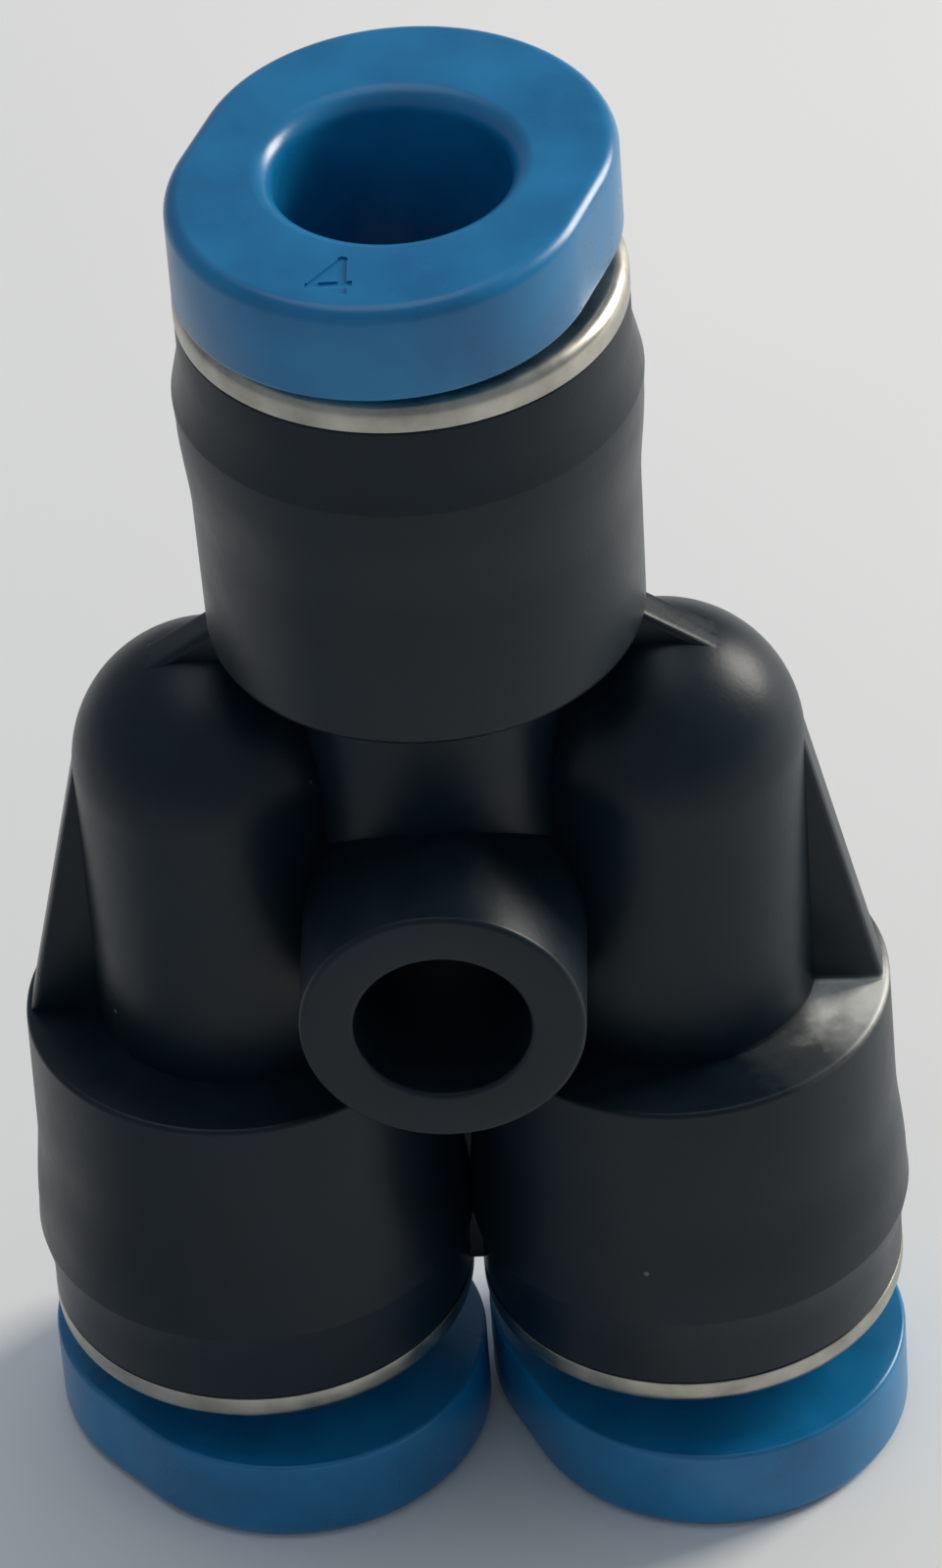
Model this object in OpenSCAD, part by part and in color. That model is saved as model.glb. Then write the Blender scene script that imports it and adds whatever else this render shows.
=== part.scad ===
// Push-in Y connector for 4 mm tube.
// One tube port at the top feeds two ports side by side at the bottom.
// The part stands on its two lower release rings, and +Z runs to the top port.

/* [Tube and channels] */
// Outer diameter of the tube that is pushed in
tube_d = 4; // [3.8:0.05:4.2]
// Gap between the tube and the release ring's bore, on the radius
ring_bore_gap = 0.1; // [0.06:0.01:0.14]
// Gap between the tube and its seat in the body, on the radius
seat_gap = 0.04; // [0.02:0.01:0.1]
// Length of the seat that holds the tube's end straight
seat_len = 1.3; // [1.1:0.05:1.4]
// Diameter of the air channel behind each tube
channel_d = 2.8; // [2:0.1:3]
// Diameter of the cross channel that joins the three
cross_d = 1.9; // [1.6:0.1:2]
// Height of the cross channel above the domes' centres
cross_rise = 0.55; // [0.4:0.05:0.6]
// Room over the cross channel in each dome
end_room = 0.2; // [0.1:0.05:0.25]
// Chamfer at the closed ends of the channels
end_chamfer = 0.5; // [0.4:0.05:0.7]

/* [Body] */
// Distance between the axes of the two lower ports
port_pitch = 8.25; // [8.2:0.05:8.6]
// Diameter of a port at its inner end
port_d = 7.96; // [7.8:0.02:8.1]
// Diameter of the straight neck at a port's mouth
port_end_d = 8.04; // [7.9:0.02:8.2]
// Diameter of the swell behind a port's mouth
port_swell_d = 8.4; // [8.3:0.02:8.6]
// Length of the straight neck at a port's mouth
port_end_len = 0.85; // [0.6:0.05:1]
// Distance from a port's mouth to the edge of the swell
swell_at = 1.65; // [1.4:0.05:2]
// Distance from a port's mouth to where the swell runs out
swell_end = 4.2; // [3.6:0.1:5]
// Length of the swell's crown
crown_len = 0.45; // [0.3:0.05:0.8]
// How far the crown's back end lies under its edge, on the radius
crown_fall = 0.03; // [0.01:0.01:0.06]
// Length of a lower port, from its mouth to its ledge
lower_port_len = 6.76; // [6.5:0.02:7.2]
// Length of the top port
top_port_len = 7.07; // [6.7:0.01:7.4]
// Rounding on the outer edge of each ledge
ledge_round = 0.15; // [0.05:0.01:0.3]
// Diameter of the domed covers over the lower ports
capsule_d = 5.2; // [5:0.05:5.4]
// Height of the dome's centre above the screw hole
dome_rise = 2.5; // [2.4:0.05:2.8]
// Diameter of the neck that carries the top port
neck_d = 5.2; // [5:0.05:5.4]
// Height of the top port's lower end above the screw hole
top_port_rise = 5.72; // [5.6:0.02:6]
// Thickness of the flat web in the middle plane
web_t = 0.8; // [0.6:0.05:1]

/* [Screw boss] */
// Height of the screw hole above the lower ports' ledges
boss_rise = 3.22; // [3:0.02:3.6]
// Outer diameter of the screw boss
boss_d = 5.22; // [4.8:0.02:5.4]
// Diameter of the screw hole, for an M3 screw
hole_d = 3.2; // [3:0.05:3.3]
// Length of the boss from face to face
boss_len = 10; // [9.6:0.1:11]
// Chamfer at each mouth of the screw hole
hole_chamfer = 0.12; // [0.05:0.01:0.2]

/* [Metal collar] */
// Diameter of the collar's visible band
band_d = 8.06; // [7.9:0.02:8.2]
// Height of the collar's visible band
band_h = 0.57; // [0.4:0.01:0.8]
// Rounding on the outer edge of the band
band_round = 0.14; // [0.05:0.01:0.2]
// Diameter of the collar's press-fitted sleeve and of the parts behind it
insert_d = 6.7; // [6.5:0.05:6.8]
// Length of the sleeve's narrow throat
throat_len = 0.85; // [0.7:0.05:0.95]
// Chamfer at the throat's mouth
throat_chamfer = 0.1; // [0.05:0.01:0.15]
// Room between the snap bead and the flare behind the throat, on the radius
flare_gap = 0.1; // [0.06:0.01:0.14]

/* [Release ring] */
// Length of the flange's oval
flange_l = 8.8; // [8.4:0.02:8.8]
// Width of the oval, across its two flats
flange_w = 7.46; // [7.2:0.02:7.46]
// Thickness of the flange
flange_t = 1.9; // [1.5:0.05:2.2]
// Rounding on the flange's outer edge
flange_round = 0.3; // [0.2:0.02:0.5]
// Rounding on the flange's edge next to the collar
under_round = 0.1; // [0.04:0.01:0.3]
// Rounding at the mouth of the bore
mouth_round = 0.42; // [0.2:0.02:0.5]
// Wall of the ring's sleeve
ring_wall = 0.44; // [0.35:0.01:0.48]
// Running gap between the sleeve and the collar's throat, on the radius
throat_gap = 0.06; // [0.03:0.01:0.1]
// Height of the snap bead at the sleeve's nose, past the throat's wall
bead_h = 0.14; // [0.08:0.01:0.2]
// Length of the snap bead's straight land
bead_land = 0.12; // [0.08:0.01:0.2]
// Width of the flat end of the sleeve's nose
nose_flat = 0.12; // [0.08:0.01:0.16]
// How far a ring can slide from fully out to fully pressed
ring_travel = 1.05; // [0.9:0.05:1.15]
// How far the top ring is already pressed in where it rests
top_pressed = 0.73; // [0:0.01:0.8]
// Turn of the top ring's flats about its axis
top_turn = -20; // [-45:1:45]
// Turn of the left ring's flats about its axis
left_turn = 43; // [30:1:45]
// Turn of the right ring's flats about its axis
right_turn = 26; // [0:1:28]

/* [Grip, support ring and seal] */
// Thickness of the steel grip
grip_t = 0.2; // [0.15:0.01:0.25]
// Width of the grip's flat rim
rim_w = 0.4; // [0.38:0.01:0.44]
// Depth of the grip's fingers along the tube
finger_drop = 0.95; // [0.85:0.01:1.1]
// Gap between the fully pressed nose and the fingers, along the tube
nose_gap = 0.1; // [0.06:0.01:0.16]
// Size of the sharp edge at each finger's tip
tip_size = 0.12; // [0.1:0.01:0.15]
// How far the finger tips bite past the tube's skin, on the radius
bite = 0.03; // [0.01:0.01:0.05]
// Number of fingers on the grip
fingers = 8; // [6:1:10]
// Width of the slots between the fingers
slot_w = 0.35; // [0.25:0.05:0.5]
// Distance from the slots' ends to the bend of the grip
slot_end = 0.1; // [0.05:0.05:0.3]
// Length of the support ring behind the grip
support_len = 1.45; // [1.35:0.05:1.6]
// Length of the support ring's straight end, next to the seal
support_land = 0.3; // [0.2:0.05:0.4]
// Length of the seal
seal_len = 1.4; // [1.2:0.05:1.5]
// Rounding of the lip that touches the tube
lip_round = 0.3; // [0.2:0.05:0.35]
// Distance from the seal's back to the lip
lip_back = 0.55; // [0.45:0.05:0.6]
// Radius of the groove that spreads the lips under pressure
groove_r = 0.25; // [0.2:0.01:0.3]
// How far the seal's lips press past the tube's skin, on the radius
squeeze = 0.02; // [0.01:0.01:0.05]

/* [Hidden] */
$fn = 72;

black = "#24282b";
blue = "#1f6fa8";
nickel = "#b9b2a6";
steel = "#c4c8cc";
bone = "#d8d4c8";
rubber = "#3a3d3f";

// Small overlap where one cut runs on into the next
eps = 0.01;
// Clear space left where a ring meets its stop
stop_gap = 0.03;
// Radial play that keeps the grip and the seal off the wall of their seat
loose = 0.02;
arc_steps = 6;

tube_r = tube_d / 2;
ring_bore_r = tube_r + ring_bore_gap;
sleeve_r = ring_bore_r + ring_wall;
throat_r = sleeve_r + throat_gap;
bead_r = throat_r + bead_h;
insert_r = insert_d / 2;
seat_r = tube_r + seat_gap;
channel_r = channel_d / 2;
port_x = port_pitch / 2;

// Heights, from the flanges' undersides up
ring_out_gap = ring_travel + stop_gap;
lower_mouth_z = flange_t + ring_out_gap + band_h;
ledge_z = lower_mouth_z + lower_port_len;
hole_z = ledge_z + boss_rise;
dome_z = hole_z + dome_rise;
top_port_z = hole_z + top_port_rise;
top_mouth_z = top_port_z + top_port_len;

// Slant of the grip's fingers, which the ring's nose follows
finger_root_r = insert_r - rim_w;
tip_r = tube_r - bite;
finger_slope = finger_drop / (finger_root_r - tip_r);
nose_r = ring_bore_r + nose_flat;
bead_len = bead_land + (bead_r - nose_r) * finger_slope;
nose_depth = throat_len + stop_gap + bead_len + ring_travel;

// Depths inside a port, from its mouth inwards
collar_len = nose_depth + nose_gap - (finger_root_r - nose_r) * finger_slope;
grip_at = collar_len;
support_at = grip_at + grip_t;
seal_at = support_at + support_len;
insert_depth = seal_at + seal_len;
tube_stop = insert_depth + seat_len;
cross_z = dome_z + cross_rise;
cross_r = cross_d / 2;
// Length by which a cutter runs on into a hollow that is already open
run_on = 2;

// Points on an arc about [x, y] from angle a to angle b
function arc(x, y, r, a, b) = [for (i = [0 : arc_steps])
    let (t = a + (b - a) * i / arc_steps) [x + r * cos(t), y + r * sin(t)]];

// Where a line from point p touches the circle about c with radius r
function touch(p, c, r, side) =
    let (d = norm(p - c), out = atan2(p[1] - c[1], p[0] - c[0]), turn = side * acos(r / d))
    c + r * [cos(out + turn), sin(out + turn)];

// Places a shape drawn with its mouth at z = 0 and its outside at +Z
module at_top() {
    translate([0, 0, top_mouth_z]) children();
}

module at_lower(side) {
    translate([side * port_x, 0, lower_mouth_z]) rotate([180, 0, 0]) children();
}

// Outside of a port: straight end, sharp-edged swell, slight waist
module port_shell(len) {
    r = port_d / 2;
    rotate_extrude() polygon(concat(
        [[0, 0], [port_end_d / 2, 0], [port_end_d / 2, -port_end_len],
            [port_swell_d / 2, -swell_at], [port_swell_d / 2 - crown_fall, -swell_at - crown_len],
            [port_end_d / 2, -swell_end]],
        arc(r - ledge_round, ledge_round - len, ledge_round, 0, -90),
        [[0, -len]]));
}

// Room inside a port: wide seat for the inserts, then the tube's own seat
module port_hollow() {
    translate([0, 0, -insert_depth]) cylinder(h = insert_depth + eps, r = insert_r);
    translate([0, 0, -tube_stop]) cylinder(h = seat_len + eps, r = seat_r);
}

// Domed cover that holds the air channel over a lower port
module capsule() {
    translate([0, 0, ledge_z - eps]) cylinder(h = dome_z - ledge_z + eps, d = capsule_d);
    translate([0, 0, dome_z]) sphere(d = capsule_d);
}

// Flat web in the middle plane, tight round the domes and the ports' corners
module web() {
    dome = [port_x, dome_z];
    r = capsule_d / 2;
    ledge_corner = [port_x + port_d / 2 - ledge_round, ledge_z];
    top_corner = [port_d / 2 - ledge_round, top_port_z];
    rotate([90, 0, 0]) linear_extrude(height = web_t, center = true)
        for (side = [0, 1]) mirror([side, 0]) {
            polygon([[0, lower_mouth_z], [port_x, lower_mouth_z], [port_x, ledge_z],
                ledge_corner, touch(ledge_corner, dome, r, 1), dome,
                touch(top_corner, dome, r, -1), top_corner, [0, top_port_z]]);
            translate(dome) circle(r = r);
        }
}

module boss() {
    translate([0, 0, hole_z]) rotate([90, 0, 0])
        cylinder(h = boss_len, d = boss_d, center = true);
}

module screw_hole() {
    mouth_r = hole_d / 2 + hole_chamfer;
    translate([0, 0, hole_z]) rotate([90, 0, 0]) {
        cylinder(h = boss_len + run_on, d = hole_d, center = true);
        for (side = [0, 1]) mirror([0, 0, side]) translate([0, 0, boss_len / 2 - hole_chamfer])
            cylinder(h = hole_chamfer + eps, r1 = hole_d / 2, r2 = mouth_r + eps);
    }
}

// Air way: down the neck, across above the screw hole, down both capsules
module channels() {
    top = cross_z + cross_r + end_room;
    low = lower_mouth_z + tube_stop - eps;
    neck_low = cross_z - cross_r / 2;
    translate([0, 0, neck_low])
        cylinder(h = top_mouth_z - tube_stop - neck_low + eps, r = channel_r);
    for (side = [-1, 1]) translate([side * port_x, 0, 0])
        rotate_extrude() polygon([[0, low], [channel_r, low],
            [channel_r, top - end_chamfer], [channel_r - end_chamfer, top], [0, top]]);
    translate([0, 0, cross_z]) rotate([0, 90, 0]) cylinder(h = port_pitch, r = cross_r, center = true);
}

// One black moulding: three ports, two capsules, neck, web and boss
module body() {
    color(black) difference() {
        union() {
            at_top() port_shell(top_port_len);
            at_lower(-1) port_shell(lower_port_len);
            at_lower(1) port_shell(lower_port_len);
            translate([-port_x, 0, 0]) capsule();
            translate([port_x, 0, 0]) capsule();
            translate([0, 0, hole_z]) cylinder(h = top_port_rise + eps, d = neck_d);
            web();
            boss();
        }
        at_top() port_hollow();
        at_lower(-1) port_hollow();
        at_lower(1) port_hollow();
        channels();
        screw_hole();
    }
}

// Turned metal collar: visible band, press-fitted sleeve, flare for the fingers
module collar() {
    r = band_d / 2;
    color(nickel) rotate_extrude() polygon(concat(
        [[throat_r, band_h - throat_chamfer], [throat_r + throat_chamfer, band_h]],
        arc(r - band_round, band_h - band_round, band_round, 90, 0),
        [[r, 0], [insert_r, 0], [insert_r, -collar_len], [finger_root_r, -collar_len],
            [bead_r + flare_gap, -throat_len], [throat_r, -throat_len]]));
}

// Stainless grip: flat rim clamped behind the collar, fingers slanting inwards
module grip_claw() {
    slant = [finger_root_r, -grip_at - grip_t];
    tip = [tip_r, -grip_at - finger_drop];
    color(steel) difference() {
        rotate_extrude() polygon([[insert_r - loose, -grip_at], slant + [0, grip_t],
            tip, tip - [0, tip_size], tip + tip_size * [1, -1.5], slant,
            [insert_r - loose, -grip_at - grip_t]]);
        for (i = [0 : fingers - 1]) rotate([0, 0, (i + 0.5) * 360 / fingers])
            translate([0, -slot_w / 2, -grip_at - finger_drop - run_on])
                cube([finger_root_r - slot_end, slot_w, finger_drop + 2 * run_on]);
    }
}

// Support ring: cone that gives the fingers room, flat back for the seal
module support_ring() {
    color(bone) rotate_extrude() polygon([[insert_r, -support_at],
        [finger_root_r + flare_gap, -support_at], [seat_r + loose, support_land - seal_at],
        [seat_r + loose, -seal_at], [insert_r, -seal_at]]);
}

// Rubber seal with a lip to the tube and a lip to the body
module seal() {
    mid = (tube_r + insert_r) / 2;
    lip_r = tube_r - squeeze;
    color(rubber) rotate_extrude() polygon(concat(
        [[insert_r - loose, -seal_at], [lip_r + lip_round, -seal_at]],
        arc(lip_r + lip_round, lip_back - insert_depth, lip_round, 120, 240),
        [[lip_r + lip_round, -insert_depth]],
        arc(mid, 0.8 * groove_r - insert_depth, groove_r, 180, 0),
        [[insert_r - loose, -insert_depth]]));
}

// Release ring: oval flange, sleeve through the collar, snap bead and nose
module release_ring(pressed, turn) {
    under = band_h + ring_out_gap - pressed;
    face = under + flange_t;
    bead_top = -throat_len - stop_gap - pressed;
    nose = bead_top - bead_len;
    color(blue) rotate([0, 0, turn]) {
        difference() {
            oval_flange(under, face);
            translate([0, 0, under - run_on]) cylinder(h = flange_t + 2 * run_on, r = ring_bore_r);
            rotate_extrude() polygon(concat([[0, face + run_on], [0, face - mouth_round]],
                arc(ring_bore_r + mouth_round, face - mouth_round, mouth_round, 180, 90),
                [[ring_bore_r + mouth_round, face + run_on]]));
        }
        rotate_extrude() polygon([[ring_bore_r, under + eps], [ring_bore_r, nose],
            [nose_r, nose], [bead_r, bead_top - bead_land], [bead_r, bead_top],
            [sleeve_r, bead_top], [sleeve_r, under + eps]]);
    }
}

// Two rounded discs a little apart and the straight piece between them
module oval_flange(low, high) {
    shift = (flange_l - flange_w) / 2;
    for (side = [-1, 1]) translate([0, side * shift, 0]) rotate_extrude()
        polygon(concat([[0, low]], flange_edge(low, high), [[0, high]]));
    rotate([90, 0, 0]) linear_extrude(height = 2 * shift, center = true)
        for (side = [0, 1]) mirror([side, 0])
            polygon(concat([[-eps, low]], flange_edge(low, high), [[-eps, high]]));
}

// Outer edge of the flange's section, from its lower face to its upper face
function flange_edge(low, high) = concat(
    arc(flange_w / 2 - under_round, low + under_round, under_round, -90, 0),
    arc(flange_w / 2 - flange_round, high - flange_round, flange_round, 0, 90));

body();
at_top() collar();  // top_collar
at_lower(-1) collar();  // left_collar
at_lower(1) collar();  // right_collar
at_top() release_ring(top_pressed, top_turn);  // top_release_ring
at_lower(-1) release_ring(0, -left_turn);  // left_release_ring
at_lower(1) release_ring(0, -right_turn);  // right_release_ring
at_top() grip_claw();  // top_grip_claw
at_lower(-1) grip_claw();  // left_grip_claw
at_lower(1) grip_claw();  // right_grip_claw
at_top() support_ring();  // top_support_ring
at_lower(-1) support_ring();  // left_support_ring
at_lower(1) support_ring();  // right_support_ring
at_top() seal();  // top_seal
at_lower(-1) seal();  // left_seal
at_lower(1) seal();  // right_seal
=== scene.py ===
# Push-in Y connector for 4 mm tube: its looks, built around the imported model
import math

import bmesh
import bpy
from mathutils import Matrix, Vector


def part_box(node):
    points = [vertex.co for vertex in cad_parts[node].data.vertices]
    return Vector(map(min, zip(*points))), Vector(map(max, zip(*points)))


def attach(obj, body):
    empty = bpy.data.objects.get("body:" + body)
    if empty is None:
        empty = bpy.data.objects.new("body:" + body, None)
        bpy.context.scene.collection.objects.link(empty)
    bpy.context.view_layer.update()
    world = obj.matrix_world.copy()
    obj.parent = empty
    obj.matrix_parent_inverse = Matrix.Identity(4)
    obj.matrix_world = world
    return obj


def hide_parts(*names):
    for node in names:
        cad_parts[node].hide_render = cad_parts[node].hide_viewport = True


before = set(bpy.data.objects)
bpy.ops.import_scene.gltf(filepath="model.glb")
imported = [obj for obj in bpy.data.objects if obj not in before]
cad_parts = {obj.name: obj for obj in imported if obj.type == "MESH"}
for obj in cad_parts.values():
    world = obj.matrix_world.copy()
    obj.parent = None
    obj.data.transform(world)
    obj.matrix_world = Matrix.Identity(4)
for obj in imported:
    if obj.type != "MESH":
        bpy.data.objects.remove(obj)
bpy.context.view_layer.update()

mm = 0.001  # shapes are modelled in millimetres and scaled to metres at the end
roundSteps = 128
arcSteps = 6
sharpAngle = 30
samePoint = 1e-5  # corners nearer than this are joined, in millimetres
tinyEdge = 2e-4  # edges shorter than this are dissolved, in millimetres


def boxOf(node):
    low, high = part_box(node)
    return Vector(low) / mm, Vector(high) / mm


# Main places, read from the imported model
bodyLow, bodyHigh = boxOf("body")
collarLow, collarHigh = boxOf("left_collar")
sealEnd = boxOf("left_seal")[1].z
portX = -(collarLow.x + collarHigh.x) / 2
lowerMouth = bodyLow.z
topMouth = bodyHigh.z


# Shapes

def arc(x, z, radius, start, end, steps=arcSteps):
    angles = [math.radians(start + (end - start) * i / steps) for i in range(steps + 1)]
    return [(x + radius * math.cos(a), z + radius * math.sin(a)) for a in angles]


def spinOutline(outline, closed=False, steps=roundSteps):
    # Turns (radius, height) points round Z; an open outline starts and ends on the axis
    bm = bmesh.new()
    verts = [bm.verts.new((r, 0, z)) for r, z in outline]
    pairs = list(zip(verts, verts[1:])) + ([(verts[-1], verts[0])] if closed else [])
    edges = [bm.edges.new(pair) for pair in pairs]
    bmesh.ops.spin(bm, geom=verts + edges, cent=(0, 0, 0), axis=(0, 0, 1), angle=math.tau, steps=steps,
                   use_merge=True)
    return bm


def closeUp(bm):
    bmesh.ops.remove_doubles(bm, verts=bm.verts, dist=samePoint)
    bmesh.ops.recalc_face_normals(bm, faces=bm.faces)
    return bm


def makePiece(name, bm, place=Matrix()):
    bmesh.ops.transform(bm, matrix=place, verts=bm.verts)
    closeUp(bm)
    mesh = bpy.data.meshes.new(name)
    bm.to_mesh(mesh)
    bm.free()
    piece = bpy.data.objects.new(name, mesh)
    bpy.context.collection.objects.link(piece)
    return piece


def combine(piece, operation, tools):
    # Joins or cuts with every tool at once, then puts the tools away
    group = bpy.data.collections.new(piece.name + operation)
    for tool in tools:
        bpy.context.collection.objects.unlink(tool)
        group.objects.link(tool)
    step = piece.modifiers.new(operation, "BOOLEAN")
    step.operation = operation
    step.solver = "MANIFOLD"
    step.operand_type = "COLLECTION"
    step.collection = group
    applyModifiers(piece)
    for tool in tools:
        bpy.data.objects.remove(tool)
    bpy.data.collections.remove(group)
    return piece


def applyModifiers(piece):
    shape = bpy.data.meshes.new_from_object(piece.evaluated_get(bpy.context.evaluated_depsgraph_get()))
    piece.modifiers.clear()
    piece.data = shape


def finishPiece(piece, material, body, slot, *nodes):
    bm = bmesh.new()
    bm.from_mesh(piece.data)
    bmesh.ops.dissolve_degenerate(bm, edges=bm.edges, dist=tinyEdge)
    bmesh.ops.scale(bm, vec=(mm, mm, mm), verts=bm.verts)
    bm.to_mesh(piece.data)
    bm.free()
    piece.data.shade_smooth()
    piece.data.set_sharp_from_angle(angle=math.radians(sharpAngle))
    piece.data.materials.clear()
    piece.data.materials.append(material)
    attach(piece, body)
    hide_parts(*nodes)
    print("made", piece.name, len(piece.data.polygons), "faces")


# Materials

def srgb(colour):
    channels = [int(colour[i:i + 2], 16) / 255 for i in (1, 3, 5)]
    linear = [c / 12.92 if c <= 0.04045 else ((c + 0.055) / 1.055) ** 2.4 for c in channels]
    return (*linear, 1.0)


def addNode(tree, kind, settings=None, links=None):
    # Adds a node with its settings and links; "stops" are the places and colours of a colour ramp
    node = tree.nodes.new("ShaderNode" + kind)
    for name, value in (settings or {}).items():
        if name == "stops":
            for element, (position, colour) in zip(node.color_ramp.elements, value):
                element.position = position
                element.color = colour
        elif isinstance(name, int) or name in node.inputs:
            node.inputs[name].default_value = value
        else:
            setattr(node, name, value)
    for name, source in (links or {}).items():
        tree.links.new(source, node.inputs[name])
    return node


def startMaterial(name, shader):
    # A material with its shader, and object coordinates turned to millimetres
    material = bpy.data.materials.new(name)
    material.use_nodes = True
    tree = material.node_tree
    tree.nodes.clear()
    surface = addNode(tree, "BsdfPrincipled", shader)
    addNode(tree, "OutputMaterial", links={"Surface": surface.outputs[0]})
    place = addNode(tree, "TexCoord").outputs["Object"]
    inMm = addNode(tree, "Mapping", {"Scale": (1 / mm, 1 / mm, 1 / mm)}, {"Vector": place}).outputs[0]
    return material, tree, surface, inMm


noiseLow, noiseHigh = 0.3, 0.7  # nearly all of a noise's values lie between these


# Glass-filled polyamide, injection moulded in an eroded mould: satin black with a faint grey bloom
polyamide = {
    "dark": "#0a1820", "pale": "#10202a", "scuff": "#5c6163", "gloss": (0.3, 0.44),
    "cloudMm": 2.6, "rippleMm": 0.02, "grainMm": 0.09, "reliefMm": 0.006, "speckMm": 3.2,
}

# The painted reflection of the window light on the right ledge, streaked by scuff creases: its centre and how far it
# fades out, in mm, and the creases of its skin.
# In each pair a fade starts at the first value and is full at the second.
paintedLedgeReflection = {
    "at": (7.9, -0.7, 10.31), "reach": (3.5, 3.5, 0.2), "edge": (1.2, 0.45), "heart": (0.85, 0.3),
    # The three colours here are the painted reflection, from its dim rim to its brightest streaks
    "dull": "#5c5e5c", "worn": "#d2d3cc", "bright": "#fbfbf4",
    "raggedMm": 0.91, "creaseMm": 1.1, "creaseTurn": 35, "creaseStretch": 0.45, "ridge": (0.3, 0.85),
}


def paintedReflectionPatch(tree, inMm):
    # How strongly the painted reflection of the window light shows, from 0 to 1, and the colour of that painted
    # reflection
    r = paintedLedgeReflection
    place = {"Scale": tuple(1 / reach for reach in r["reach"]),
             "Location": tuple(-at / reach for at, reach in zip(r["at"], r["reach"]))}
    near = addNode(tree, "Mapping", place, {"Vector": inMm}).outputs[0]
    far = addNode(tree, "VectorMath", {"operation": "LENGTH"}, {0: near}).outputs["Value"]
    warp = addNode(tree, "TexNoise", {"Scale": 1 / r["raggedMm"], "Detail": 4.0, "Roughness": 0.6},
                   {"Vector": inMm}).outputs["Fac"]
    ragged = addNode(tree, "Math", {"operation": "MULTIPLY_ADD", 1: 0.5}, {0: warp, 2: far}).outputs[0]
    fade = addNode(tree, "MapRange", {"From Min": r["edge"][0], "From Max": r["edge"][1]},
                   {"Value": ragged}).outputs[0]
    heart = addNode(tree, "MapRange", {"From Min": r["heart"][0], "From Max": r["heart"][1]},
                    {"Value": ragged}).outputs[0]
    streaked = addNode(tree, "Mapping", {"Rotation": (0, 0, math.radians(r["creaseTurn"])),
                                         "Scale": (1.0, r["creaseStretch"], 1.0)}, {"Vector": inMm}).outputs[0]
    creases = addNode(tree, "TexNoise", {"noise_type": "RIDGED_MULTIFRACTAL", "Scale": 1 / r["creaseMm"],
                                         "Detail": 5.0, "Roughness": 0.55, "Distortion": 0.6},
                      {"Vector": streaked}).outputs["Fac"]
    ridge = addNode(tree, "MapRange", {"From Min": r["ridge"][0], "From Max": r["ridge"][1]},
                    {"Value": creases}).outputs[0]
    lift = addNode(tree, "Math", {"operation": "MULTIPLY"}, {0: ridge, 1: heart}).outputs[0]
    worn = addNode(tree, "Math", {"operation": "MULTIPLY_ADD", 1: 0.5}, {0: heart, 2: lift}).outputs[0]
    base = addNode(tree, "ValToRGB", {"stops": [(0.0, srgb(r["dull"])), (0.5, srgb(r["worn"]))]},
                   {0: worn}).outputs[0]
    # The brightest creases get a painted highlight
    shine = addNode(tree, "MapRange", {"From Min": 0.5, "From Max": 0.9}, {"Value": worn}).outputs[0]
    reflectionColour = addNode(tree, "Mix", {"data_type": "RGBA", 7: srgb(r["bright"])}, {0: shine, 6: base}).outputs[2]
    return fade, reflectionColour


def mouldedPolyamide():
    p = polyamide
    material, tree, surface, inMm = startMaterial("mouldedBlackPolyamide", {
        "IOR": 1.53, "Specular IOR Level": 0.24})
    cloud = addNode(tree, "TexNoise", {"Scale": 1 / p["cloudMm"], "Detail": 5.0, "Roughness": 0.62},
                    {"Vector": inMm}).outputs["Fac"]
    grain = addNode(tree, "TexNoise", {"Scale": 1 / p["grainMm"], "Detail": 2.0}, {"Vector": inMm}).outputs["Fac"]
    speck = addNode(tree, "TexVoronoi", {"Scale": 1 / p["speckMm"], "Randomness": 1.0},
                    {"Vector": inMm}).outputs["Distance"]
    tone = addNode(tree, "ValToRGB", {"stops": [(0.3, srgb(p["dark"])), (0.72, srgb(p["pale"]))]},
                   {0: cloud}).outputs[0]
    dots = addNode(tree, "ValToRGB", {"stops": [(0.012, (1, 1, 1, 1)), (0.02, (0, 0, 0, 1))]},
                   {0: speck}).outputs[0]
    dotted = addNode(tree, "Mix", {"data_type": "RGBA", 7: srgb(p["scuff"])}, {0: dots, 6: tone}).outputs[2]
    # The right ledge gets a painted reflection of the window light mixed into its colour
    fade, reflectionColour = paintedReflectionPatch(tree, inMm)
    colour = addNode(tree, "Mix", {"data_type": "RGBA"}, {0: fade, 6: dotted, 7: reflectionColour}).outputs[2]
    sheen = addNode(tree, "MapRange", {"From Min": noiseLow, "From Max": noiseHigh,
                                       "To Min": p["gloss"][0], "To Max": p["gloss"][1]}, {"Value": cloud})
    ripple = addNode(tree, "Bump", {"Strength": 0.5, "Distance": p["rippleMm"] * mm}, {"Height": cloud})
    relief = addNode(tree, "Bump", {"Strength": 0.35, "Distance": p["reliefMm"] * mm},
                     {"Height": grain, "Normal": ripple.outputs[0]})
    tree.links.new(colour, surface.inputs["Base Color"])
    tree.links.new(sheen.outputs[0], surface.inputs["Roughness"])
    tree.links.new(relief.outputs[0], surface.inputs["Normal"])
    return material


# Blue acetal, injection moulded: waxy, with a soft gloss and light that soaks in at thin edges
acetal = {"deep": "#0b6595", "bright": "#1179ad", "gloss": (0.25, 0.36), "cloudMm": 1.8, "grainMm": 0.07,
          "reliefMm": 0.004, "soakMm": 0.25}


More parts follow.
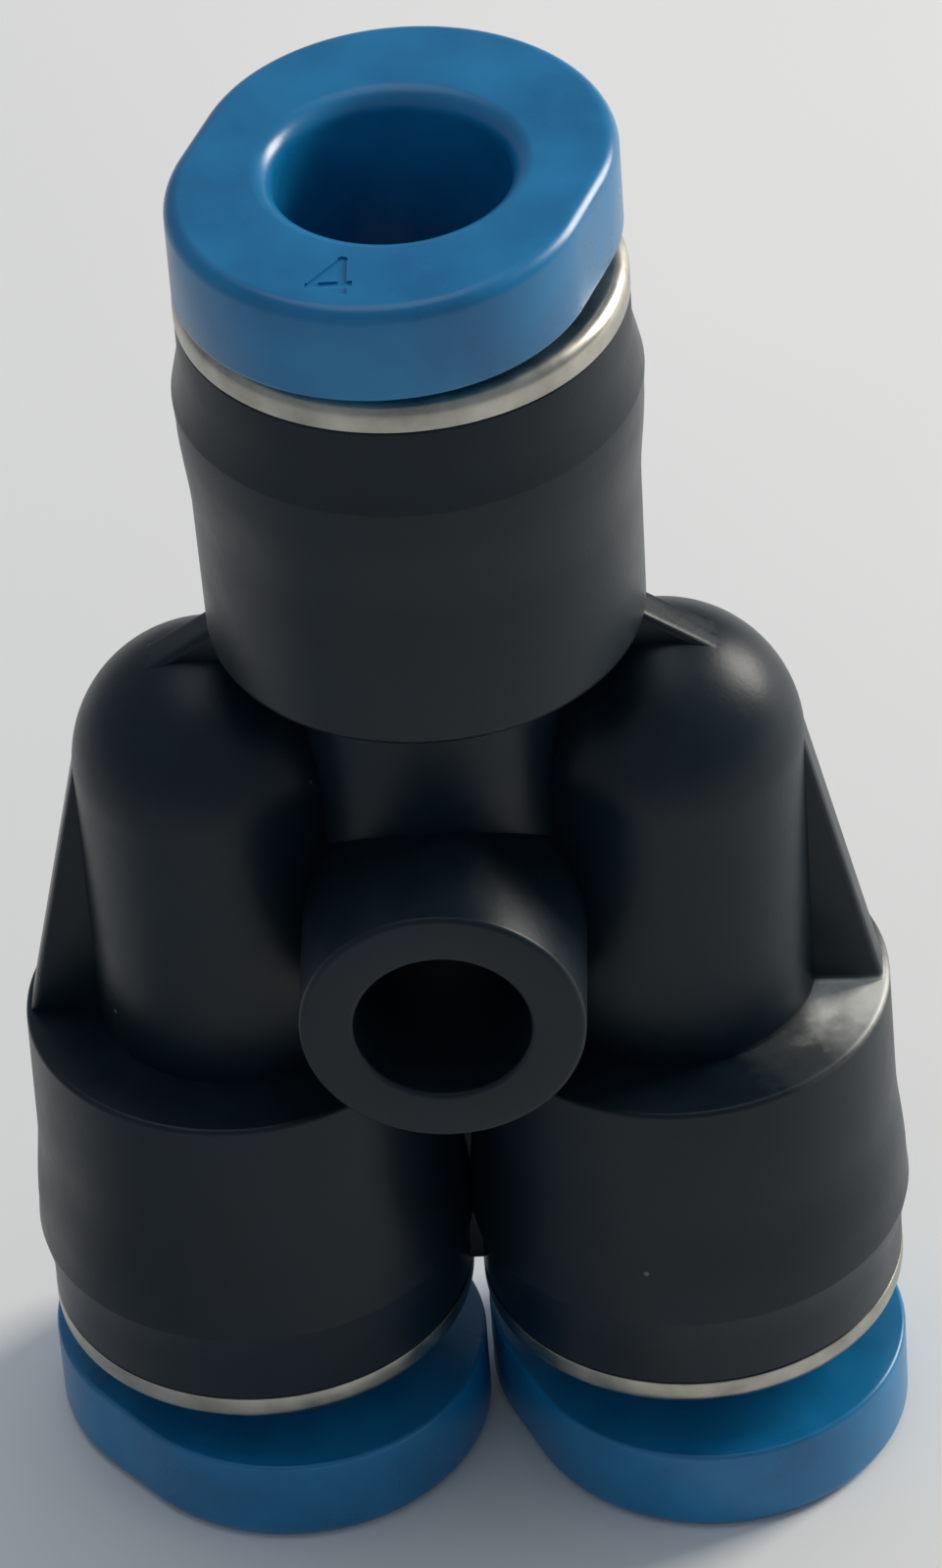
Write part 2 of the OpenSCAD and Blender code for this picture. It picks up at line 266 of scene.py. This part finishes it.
def mouldedAcetal():
    a = acetal
    material, tree, surface, inMm = startMaterial("mouldedBlueAcetal", {
        "IOR": 1.48, "Subsurface Weight": 0.12, "Subsurface Radius": (0.3, 0.7, 1.0),
        "Subsurface Scale": a["soakMm"] * mm})
    cloud = addNode(tree, "TexNoise", {"Scale": 1 / a["cloudMm"], "Detail": 4.0}, {"Vector": inMm}).outputs["Fac"]
    grain = addNode(tree, "TexNoise", {"Scale": 1 / a["grainMm"], "Detail": 2.0}, {"Vector": inMm}).outputs["Fac"]
    tone = addNode(tree, "ValToRGB", {"stops": [(noiseLow, srgb(a["deep"])), (noiseHigh, srgb(a["bright"]))]},
                   {0: cloud})
    sheen = addNode(tree, "MapRange", {"From Min": noiseLow, "From Max": noiseHigh,
                                       "To Min": a["gloss"][0], "To Max": a["gloss"][1]}, {"Value": cloud})
    relief = addNode(tree, "Bump", {"Strength": 0.25, "Distance": a["reliefMm"] * mm}, {"Height": grain})
    tree.links.new(tone.outputs[0], surface.inputs["Base Color"])
    tree.links.new(sheen.outputs[0], surface.inputs["Roughness"])
    tree.links.new(relief.outputs[0], surface.inputs["Normal"])
    return material


# Turned brass, nickel plated: warm grey, satin, with fine rings left by the turning tool
nickel = {"clean": "#bdbab0", "dull": "#98958c", "gloss": (0.26, 0.38), "feedMm": 0.06, "feedStretch": 0.05,
          "cloudMm": 0.9, "reliefMm": 0.003}


def platedNickel():
    n = nickel
    material, tree, surface, inMm = startMaterial("satinNickelPlate", {"Metallic": 1.0})
    cloud = addNode(tree, "TexNoise", {"Scale": 1 / n["cloudMm"], "Detail": 4.0}, {"Vector": inMm}).outputs["Fac"]
    feed = addNode(tree, "Mapping", {"Scale": (n["feedStretch"], n["feedStretch"], 1.0)},
                   {"Vector": inMm}).outputs[0]
    rings = addNode(tree, "TexNoise", {"Scale": 1 / n["feedMm"], "Detail": 1.0}, {"Vector": feed}).outputs["Fac"]
    tone = addNode(tree, "ValToRGB", {"stops": [(0.32, srgb(n["dull"])), (0.68, srgb(n["clean"]))]}, {0: cloud})
    sheen = addNode(tree, "MapRange", {"From Min": noiseLow, "From Max": noiseHigh,
                                       "To Min": n["gloss"][0], "To Max": n["gloss"][1]}, {"Value": cloud})
    relief = addNode(tree, "Bump", {"Strength": 0.3, "Distance": n["reliefMm"] * mm}, {"Height": rings})
    tree.links.new(tone.outputs[0], surface.inputs["Base Color"])
    tree.links.new(sheen.outputs[0], surface.inputs["Roughness"])
    tree.links.new(relief.outputs[0], surface.inputs["Normal"])
    return material


# Stainless spring strip, stamped and tumbled: grey with short brushed streaks
springStrip = {"clean": "#c9ccd0", "dull": "#8f9296", "roughness": 0.32, "streakMm": 0.08, "streakStretch": 0.12,
               "reliefMm": 0.003}


def stampedSteel():
    s = springStrip
    material, tree, surface, inMm = startMaterial("stampedSpringSteel", {
        "Metallic": 1.0, "Roughness": s["roughness"]})
    along = addNode(tree, "Mapping", {"Scale": (1.0, 1.0, s["streakStretch"])}, {"Vector": inMm}).outputs[0]
    streak = addNode(tree, "TexNoise", {"Scale": 1 / s["streakMm"], "Detail": 3.0}, {"Vector": along}).outputs["Fac"]
    tone = addNode(tree, "ValToRGB", {"stops": [(noiseLow, srgb(s["dull"])), (noiseHigh, srgb(s["clean"]))]},
                   {0: streak})
    relief = addNode(tree, "Bump", {"Strength": 0.3, "Distance": s["reliefMm"] * mm}, {"Height": streak})
    tree.links.new(tone.outputs[0], surface.inputs["Base Color"])
    tree.links.new(relief.outputs[0], surface.inputs["Normal"])
    return material


# Natural acetal, turned: ivory white with faint tool rings
ivory = {"light": "#d9d5c8", "shade": "#c9c3b2", "ringMm": 0.09, "ringStretch": 0.05, "reliefMm": 0.004,
         "soakMm": 0.3}


def turnedAcetal():
    i = ivory
    material, tree, surface, inMm = startMaterial("turnedNaturalAcetal", {
        "IOR": 1.48, "Roughness": 0.42, "Subsurface Weight": 0.15, "Subsurface Scale": i["soakMm"] * mm})
    across = addNode(tree, "Mapping", {"Scale": (i["ringStretch"], i["ringStretch"], 1.0)},
                     {"Vector": inMm}).outputs[0]
    rings = addNode(tree, "TexNoise", {"Scale": 1 / i["ringMm"], "Detail": 1.0}, {"Vector": across}).outputs["Fac"]
    tone = addNode(tree, "ValToRGB", {"stops": [(noiseLow, srgb(i["shade"])), (noiseHigh, srgb(i["light"]))]},
                   {0: rings})
    relief = addNode(tree, "Bump", {"Strength": 0.3, "Distance": i["reliefMm"] * mm}, {"Height": rings})
    tree.links.new(tone.outputs[0], surface.inputs["Base Color"])
    tree.links.new(relief.outputs[0], surface.inputs["Normal"])
    return material


# Nitrile rubber, moulded: dull black with a dusty bloom
nitrile = {"black": "#1b1c1e", "bloom": "#2e3032", "bloomMm": 0.5, "grainMm": 0.05, "reliefMm": 0.005}


def mouldedRubber():
    n = nitrile
    material, tree, surface, inMm = startMaterial("mouldedNitrileRubber", {"IOR": 1.5, "Roughness": 0.68})
    bloom = addNode(tree, "TexNoise", {"Scale": 1 / n["bloomMm"], "Detail": 4.0}, {"Vector": inMm}).outputs["Fac"]
    grain = addNode(tree, "TexNoise", {"Scale": 1 / n["grainMm"], "Detail": 2.0}, {"Vector": inMm}).outputs["Fac"]
    tone = addNode(tree, "ValToRGB", {"stops": [(0.35, srgb(n["black"])), (0.75, srgb(n["bloom"]))]}, {0: bloom})
    relief = addNode(tree, "Bump", {"Strength": 0.3, "Distance": n["reliefMm"] * mm}, {"Height": grain})
    tree.links.new(tone.outputs[0], surface.inputs["Base Color"])
    tree.links.new(relief.outputs[0], surface.inputs["Normal"])
    return material


blackPlastic = mouldedPolyamide()
bluePlastic = mouldedAcetal()
plating = platedNickel()
spring = stampedSteel()
naturalPlastic = turnedAcetal()
rubber = mouldedRubber()
print("materials made")


# Where each port's mouth is, with the outside of the port pointing to +Z

def atTop():
    return Matrix.Translation((0, 0, topMouth))


def atLower(side):
    return Matrix.Translation((side * portX, 0, lowerMouth)) @ Matrix.Rotation(math.pi, 4, "X")


places = {"top": atTop(), "left": atLower(-1), "right": atLower(1)}


# Black moulding

moulding = {
    "mouthR": 4.02, "mouthRound": 0.06, "neckLen": 0.85, "swellR": bodyHigh.x - portX, "swellAt": 1.65,
    "swellRound": 0.2, "crestSet": 0.05, "crestStart": 13, "easeSteps": 8, "crownLen": 0.45, "crownFall": 0.03,
    "swellEnd": 4.2, "portR": 3.98,
    "lowerLen": 6.76, "topLen": 7.07, "ledgeRound": 0.11, "topRound": 0.24,
    "domeR": 2.6, "domeRise": 5.72, "neckR": 2.6, "webThick": 0.8, "webRound": 0.12,
    "webInset": 0.05, "webLap": 0.1,
    "bossR": 2.61, "bossRise": 3.22, "bossRound": 0.12, "holeR": 1.6, "holeRound": 0.12,
    "holeSkim": 0.002,  # how far the hole's flare starts outside the boss's face
    "insertR": 3.35, "insertDepth": sealEnd - lowerMouth, "seatR": 2.04, "seatLen": 1.3,
    "seatChamfer": 0.5, "channelR": 1.4, "channelChamfer": 0.4, "crossR": 0.95, "crossRise": 0.55, "endRoom": 0.2,
}
ledgeZ = lowerMouth + moulding["lowerLen"]
holeZ = ledgeZ + moulding["bossRise"]
domeZ = ledgeZ + moulding["domeRise"]
topPortZ = topMouth - moulding["topLen"]


def portShell(length, endRound):
    m = moulding
    lip = m["mouthR"] - m["mouthRound"]
    crest = m["swellR"] - m["swellRound"]
    fade = [(m["swellR"] - m["crownFall"], -m["swellAt"] - m["crownLen"])]
    startR, startZ = fade[0]
    for i in range(1, m["easeSteps"]):
        # Eases the swell down to the plain barrel
        share = i / m["easeSteps"]
        ease = share * share * (3 - 2 * share)
        fade.append((startR + (m["mouthR"] - startR) * ease, startZ + (-m["swellEnd"] - startZ) * share))
    outline = [(0, 0), (lip, 0), *arc(lip, -m["mouthRound"], m["mouthRound"], 90, 0, 3),
               (m["mouthR"], -m["neckLen"]),
               *arc(crest, -m["swellAt"] - m["crestSet"], m["swellRound"], m["crestStart"], 0, 3), *fade,
               (m["mouthR"], -m["swellEnd"]),
               *arc(m["portR"] - endRound, endRound - length, endRound, 0, -90), (0, -length)]
    return spinOutline(outline)


def capsule():
    r = moulding["domeR"]
    dome = arc(0, domeZ, r, 90, 0, 28)
    return spinOutline(dome + [(r, ledgeZ - 0.5), (0, ledgeZ - 0.5)])


def barrel(radius, length, edgeRound):
    # A rounded cylinder along Z about the origin
    half = length / 2
    upper = arc(radius - edgeRound, half - edgeRound, edgeRound, 90, 0)
    lower = arc(radius - edgeRound, edgeRound - half, edgeRound, 0, -90)
    return spinOutline([(0, half)] + upper + lower + [(0, -half)])


def webPlate():
    # The plate is the tight wrap of both domes' discs, the ledges' corners and the top port's corners
    m = moulding
    bm = bmesh.new()
    half = m["webThick"] / 2
    for side in (-1, 1):
        for y in (-half, half):
            turn = Matrix.Translation((side * portX, y, domeZ)) @ Matrix.Rotation(math.pi / 2, 4, "X")
            bmesh.ops.create_circle(bm, segments=96, radius=m["domeR"] - m["webInset"], matrix=turn)
            bm.verts.new((side * (portX + m["portR"] - m["ledgeRound"]), y, ledgeZ))
            bm.verts.new((side * (m["portR"] - m["topRound"]), y, topPortZ + m["webLap"]))
            bm.verts.new((side * portX, y, lowerMouth + m["webInset"]))
    bmesh.ops.delete(bm, geom=bm.edges[:], context="EDGES_FACES")
    bmesh.ops.convex_hull(bm, input=bm.verts[:])
    spare = [v for v in bm.verts if not v.link_faces]
    bmesh.ops.delete(bm, geom=spare, context="VERTS")
    bmesh.ops.dissolve_limit(bm, angle_limit=math.radians(0.5), verts=bm.verts, edges=bm.edges)
    bm.normal_update()
    rim = [e for e in bm.edges if len(e.link_faces) == 2
           and abs(abs(e.link_faces[0].normal.y) - abs(e.link_faces[1].normal.y)) > 0.5]
    bmesh.ops.bevel(bm, geom=rim, offset=m["webRound"], offset_type="OFFSET", segments=4, profile=0.5,
                    material=-1, affect="EDGES")
    return bm


def portHollow():
    m = moulding
    end = -m["insertDepth"]
    stop = end - m["seatLen"]
    return spinOutline([(0, 1), (m["insertR"], 1), (m["insertR"], end), (m["seatR"], end), (m["seatR"], stop),
                        (m["channelR"], stop), (m["channelR"], stop - m["seatChamfer"]),
                        (0, stop - m["seatChamfer"])])


def screwHole():
    m = moulding
    flare = m["holeR"] + m["holeRound"]
    front = bodyHigh.y + m["holeSkim"]
    upper = arc(flare, front - m["holeRound"], m["holeRound"], 90, 180)
    lower = arc(flare, m["holeRound"] - front, m["holeRound"], 180, 270)
    return spinOutline([(0, front + 1), (flare, front + 1), *upper, *lower, (flare, -front - 1), (0, -front - 1)])


def channel(radius, low, high):
    slope = moulding["channelChamfer"]
    return spinOutline([(0, high), (radius - slope, high), (radius, high - slope), (radius, low), (0, low)],
                       steps=64)


def blackMoulding():
    m = moulding
    crossZ = domeZ + m["crossRise"]
    alongY = Matrix.Translation((0, 0, holeZ)) @ Matrix.Rotation(math.pi / 2, 4, "X")
    alongX = Matrix.Translation((0, 0, crossZ)) @ Matrix.Rotation(math.pi / 2, 4, "Y")
    parts = [makePiece("lowerPort", portShell(m["lowerLen"], m["ledgeRound"]), places[end])
             for end in ("left", "right")]
    parts += [makePiece("capsule", capsule(), Matrix.Translation((side * portX, 0, 0))) for side in (-1, 1)]
    neckLen = topPortZ - holeZ + 1
    parts += [makePiece("neck", barrel(m["neckR"], neckLen, 0.1), Matrix.Translation((0, 0, holeZ + neckLen / 2))),
              makePiece("web", webPlate()),
              makePiece("boss", barrel(m["bossR"], 2 * bodyHigh.y, m["bossRound"]), alongY)]
    body = makePiece("moulding", portShell(m["topLen"], m["topRound"]), places["top"])
    combine(body, "UNION", parts)
    seatEnd = m["insertDepth"] + m["seatLen"]
    channelTop = crossZ + m["crossR"] + m["endRoom"]
    cutters = [makePiece("hollow", portHollow(), places[end]) for end in places]
    cutters += [makePiece("drop", channel(m["channelR"], lowerMouth + seatEnd, channelTop),
                          Matrix.Translation((side * portX, 0, 0))) for side in (-1, 1)]
    cutters += [makePiece("riser", channel(m["channelR"], crossZ - m["crossR"] / 2, topMouth - seatEnd)),
                makePiece("cross", channel(m["crossR"], -portX, portX), alongX),
                makePiece("screwHole", screwHole(), alongY)]
    combine(body, "DIFFERENCE", cutters)
    finishPiece(body, blackPlastic, "housing", "black_moulding", "body")


blackMoulding()


# Metal collars

collar = {
    "bandR": (collarHigh.x - collarLow.x) / 2, "bandH": lowerMouth - collarLow.z, "bandRound": 0.28,
    "throatR": 2.6, "throatLen": 0.85, "throatRound": 0.1, "sleeveR": 3.35, "beadR": 2.74, "flareGap": 0.1,
    "rimW": 0.4, "sleeveLen": collarHigh.z - lowerMouth, "footRound": 0.03,
}


def metalCollar(end):
    c = collar
    top = c["bandH"]
    outline = [*arc(c["throatR"] + c["throatRound"], top - c["throatRound"], c["throatRound"], 180, 90, 4),
               *arc(c["bandR"] - c["bandRound"], top - c["bandRound"], c["bandRound"], 90, 0),
               *arc(c["bandR"] - c["footRound"], c["footRound"], c["footRound"], 0, -90, 3),
               (c["sleeveR"], 0), (c["sleeveR"], -c["sleeveLen"]), (c["sleeveR"] - c["rimW"], -c["sleeveLen"]),
               (c["beadR"] + c["flareGap"], -c["throatLen"]), (c["throatR"], -c["throatLen"])]
    piece = makePiece(end + "CollarPlated", spinOutline(outline, closed=True), places[end])
    finishPiece(piece, plating, "housing", "nickel_collar", end + "_collar")


for end in places:
    metalCollar(end)


# Release rings

ring = {
    "halfWidth": 3.73, "shift": 0.67, "thick": 1.9, "edgeRound": 0.3, "underRound": 0.1,
    "boreR": 2.1, "mouthRound": 0.42, "sleeveR": 2.54, "beadR": 2.74, "beadLand": 0.12, "beadEase": 0.02,
    "mouthSkim": 0.003,  # how far the bore's flare starts outside the ring's face
    "noseFlat": 0.12, "fingerDrop": 0.95, "fingerTipR": 1.97,
    "turn": {"top": -20, "left": -43, "right": -26},
}


def flangeLoop(radius):
    # Two half circles, joined by two flats
    shift = ring["shift"]
    return [*arc(0, shift, radius, 0, 180, 64), *arc(0, -shift, radius, 180, 360, 64)]


def ovalFlange(under):
    # Level loops, skinned from the lower face to the upper one
    r = ring
    bm = bmesh.new()
    side = [*arc(r["halfWidth"] - r["underRound"], under + r["underRound"], r["underRound"], -90, 0),
            *arc(r["halfWidth"] - r["edgeRound"], under + r["thick"] - r["edgeRound"], r["edgeRound"], 0, 90, 8)]
    loops = [[bm.verts.new((x, y, z)) for x, y in flangeLoop(radius)] for radius, z in side]
    for lower, upper in zip(loops, loops[1:]):
        for i in range(len(lower)):
            bm.faces.new((lower[i - 1], lower[i], upper[i], upper[i - 1]))
    bm.faces.new(loops[0])
    bm.faces.new(loops[-1])
    return bm


def ringSleeve(under, stop, nose):
    # The sleeve's outside with its snap bead; the bore is cut afterwards
    r = ring
    ease = r["beadEase"]
    return spinOutline([(0, under + 0.5), (r["sleeveR"], under + 0.5), (r["sleeveR"], stop + ease),
                        (r["beadR"] - ease, stop), (r["beadR"], stop - ease), (r["beadR"], stop - r["beadLand"]),
                        (r["boreR"] + r["noseFlat"], nose), (0, nose)])


def ringBore(nose, face):
    r = ring
    mouth = face + r["mouthSkim"]
    flare = arc(r["boreR"] + r["mouthRound"], mouth - r["mouthRound"], r["mouthRound"], 180, 90, 9)
    return spinOutline([(0, nose - 1), (r["boreR"], nose - 1), *flare, (r["boreR"] + r["mouthRound"], face + 1),
                        (0, face + 1)])


# The plain figure 4 for the tube's size, sunk a little into the near side of the top ring's face
figure = {"height": 0.92, "width": 0.66, "stroke": 0.15, "depth": 0.04, "at": (0.16, -3.38), "turn": 21,
          "postShare": 0.36, "barShare": 0.24}


def figureStrokes(face):
    f = figure
    spot = Matrix.Translation((*f["at"], face)) @ Matrix.Rotation(math.radians(f["turn"]), 4, "Z")
    low, high = -f["height"] / 2, f["height"] / 2
    postX, barY = f["width"] * f["postShare"], low + f["height"] * f["barShare"]
    ends = [((postX, low), (postX, high)), ((-f["width"] / 2, barY), (f["width"] / 2, barY)),
            ((-f["width"] / 2, barY), (postX, high))]
    strokes = []
    for (x0, y0), (x1, y1) in ends:
        bm = bmesh.new()
        bmesh.ops.create_cube(bm, size=1)
        reach = math.hypot(x1 - x0, y1 - y0) + f["stroke"]
        lie = (Matrix.Translation(((x0 + x1) / 2, (y0 + y1) / 2, 0))
               @ Matrix.Rotation(math.atan2(y1 - y0, x1 - x0), 4, "Z")
               @ Matrix.Diagonal((reach, f["stroke"], 2 * f["depth"], 1)))
        strokes.append(makePiece("stroke", bm, spot @ lie))
    return strokes


def fingerSlope():
    # The nose follows the slant of the grip's fingers
    rootR = collar["sleeveR"] - collar["rimW"]
    return ring["fingerDrop"] / (rootR - ring["fingerTipR"])


def releaseRing(end):
    r = ring
    low, high = boxOf(end + "_release_ring")
    place = places[end] @ Matrix.Rotation(math.radians(r["turn"][end]), 4, "Z")
    outward = 1 if end == "top" else -1
    mouth = topMouth if end == "top" else lowerMouth
    face = ((high.z if end == "top" else low.z) - mouth) * outward
    nose = ((low.z if end == "top" else high.z) - mouth) * outward
    under = face - r["thick"]
    beadLen = (r["beadR"] - r["boreR"] - r["noseFlat"]) * fingerSlope() + r["beadLand"]
    piece = makePiece(end + "RingMoulded", ovalFlange(under))
    combine(piece, "UNION", [makePiece("sleeve", ringSleeve(under, nose + beadLen, nose))])
    combine(piece, "DIFFERENCE", [makePiece("bore", ringBore(nose, face))])
    if end == "top":
        combine(piece, "DIFFERENCE", figureStrokes(face))
    piece.data.transform(place)
    finishPiece(piece, bluePlastic, end + "_ring", "blue_ring", end + "_release_ring")


for end in places:
    releaseRing(end)


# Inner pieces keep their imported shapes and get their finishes

innerFinish = {"grip_claw": spring, "support_ring": naturalPlastic, "seal": rubber}
for end in places:
    for kind, material in innerFinish.items():
        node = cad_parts[end + "_" + kind]
        for slot in node.material_slots:
            slot.material = material
print("inner pieces finished")


# Floor, light and camera

stage = {"floor": "#ececea", "floorShade": "#e4e4e2", "floorSize": 1.2, "mottleMm": 50,
         "world": "#d8e4f0", "worldStrength": 0.37}


def makeFloor():
    bm = bmesh.new()
    bmesh.ops.create_grid(bm, x_segments=1, y_segments=1, size=stage["floorSize"])
    mesh = bpy.data.meshes.new("paleFloor")
    bm.to_mesh(mesh)
    bm.free()
    floor = bpy.data.objects.new("paleFloor", mesh)
    bpy.context.collection.objects.link(floor)
    material, tree, surface, inMm = startMaterial("paleFloorPaint", {"Roughness": 0.8})
    mottle = addNode(tree, "TexNoise", {"Scale": 1 / stage["mottleMm"], "Detail": 3.0}, {"Vector": inMm})
    tone = addNode(tree, "ValToRGB", {"stops": [(noiseLow, srgb(stage["floorShade"])),
                                                (noiseHigh, srgb(stage["floor"]))]}, {0: mottle.outputs["Fac"]})
    tree.links.new(tone.outputs[0], surface.inputs["Base Color"])
    mesh.materials.append(material)


def makeWorld():
    world = bpy.data.worlds.new("softStudio")
    world.use_nodes = True
    backdrop = world.node_tree.nodes["Background"]
    backdrop.inputs[0].default_value = srgb(stage["world"])
    backdrop.inputs[1].default_value = stage["worldStrength"]
    bpy.context.scene.world = world


# Soft panels: azimuth and elevation in degrees, distance and size in metres, power in watts
panels = {
    "window": {"azimuth": 122, "elevation": 24, "distance": 0.30, "size": (0.11, 0.13),
               "power": 0.9, "colour": "#fff8ee"},
    "ceiling": {"azimuth": 200, "elevation": 80, "distance": 0.42, "size": (0.30, 0.30),
                "power": 0.35, "colour": "#f4f7ff"},
}


def makePanels():
    target = Vector((0, 0, 0.015))
    for name, p in panels.items():
        light = bpy.data.lights.new(name, "AREA")
        light.shape = "RECTANGLE"
        light.size, light.size_y = p["size"]
        light.energy = p["power"]
        light.color = srgb(p["colour"])[:3]
        lamp = bpy.data.objects.new(name, light)
        bpy.context.collection.objects.link(lamp)
        away = directionFrom(p["azimuth"], p["elevation"])
        lamp.location = target + away * p["distance"]
        lamp.rotation_euler = away.to_track_quat("Z", "Y").to_euler()


def directionFrom(azimuth, elevation):
    a, e = math.radians(azimuth), math.radians(elevation)
    return Vector((math.sin(a) * math.cos(e), -math.cos(a) * math.cos(e), math.sin(e)))


# Fitted to the photograph: angles in degrees, lengths in millimetres
view = {"azimuth": 3.515, "elevation": 39.552, "distance": 157.04, "roll": -4.461, "aim": (0.551, 0, 15.115),
        "focalPixels": 8718.9, "picture": (961, 1600), "sensor": 36.0}


def makeCamera():
    camera = bpy.data.cameras.new("photoCamera")
    camera.sensor_width = view["sensor"]
    camera.lens = view["focalPixels"] * view["sensor"] / view["picture"][1]
    camera.clip_start = 0.001
    camera.clip_end = 10
    holder = bpy.data.objects.new("photoCamera", camera)
    bpy.context.collection.objects.link(holder)
    away = directionFrom(view["azimuth"], view["elevation"])
    holder.location = (Vector(view["aim"]) + away * view["distance"]) * mm
    level = away.to_track_quat("Z", "Y")
    holder.rotation_euler = (level.to_matrix() @ Matrix.Rotation(math.radians(view["roll"]), 3, "Z")).to_euler()
    bpy.context.scene.camera = holder


bpy.context.scene.view_settings.view_transform = "Standard"
makeFloor()
makeWorld()
makePanels()
makeCamera()
print("stage ready")
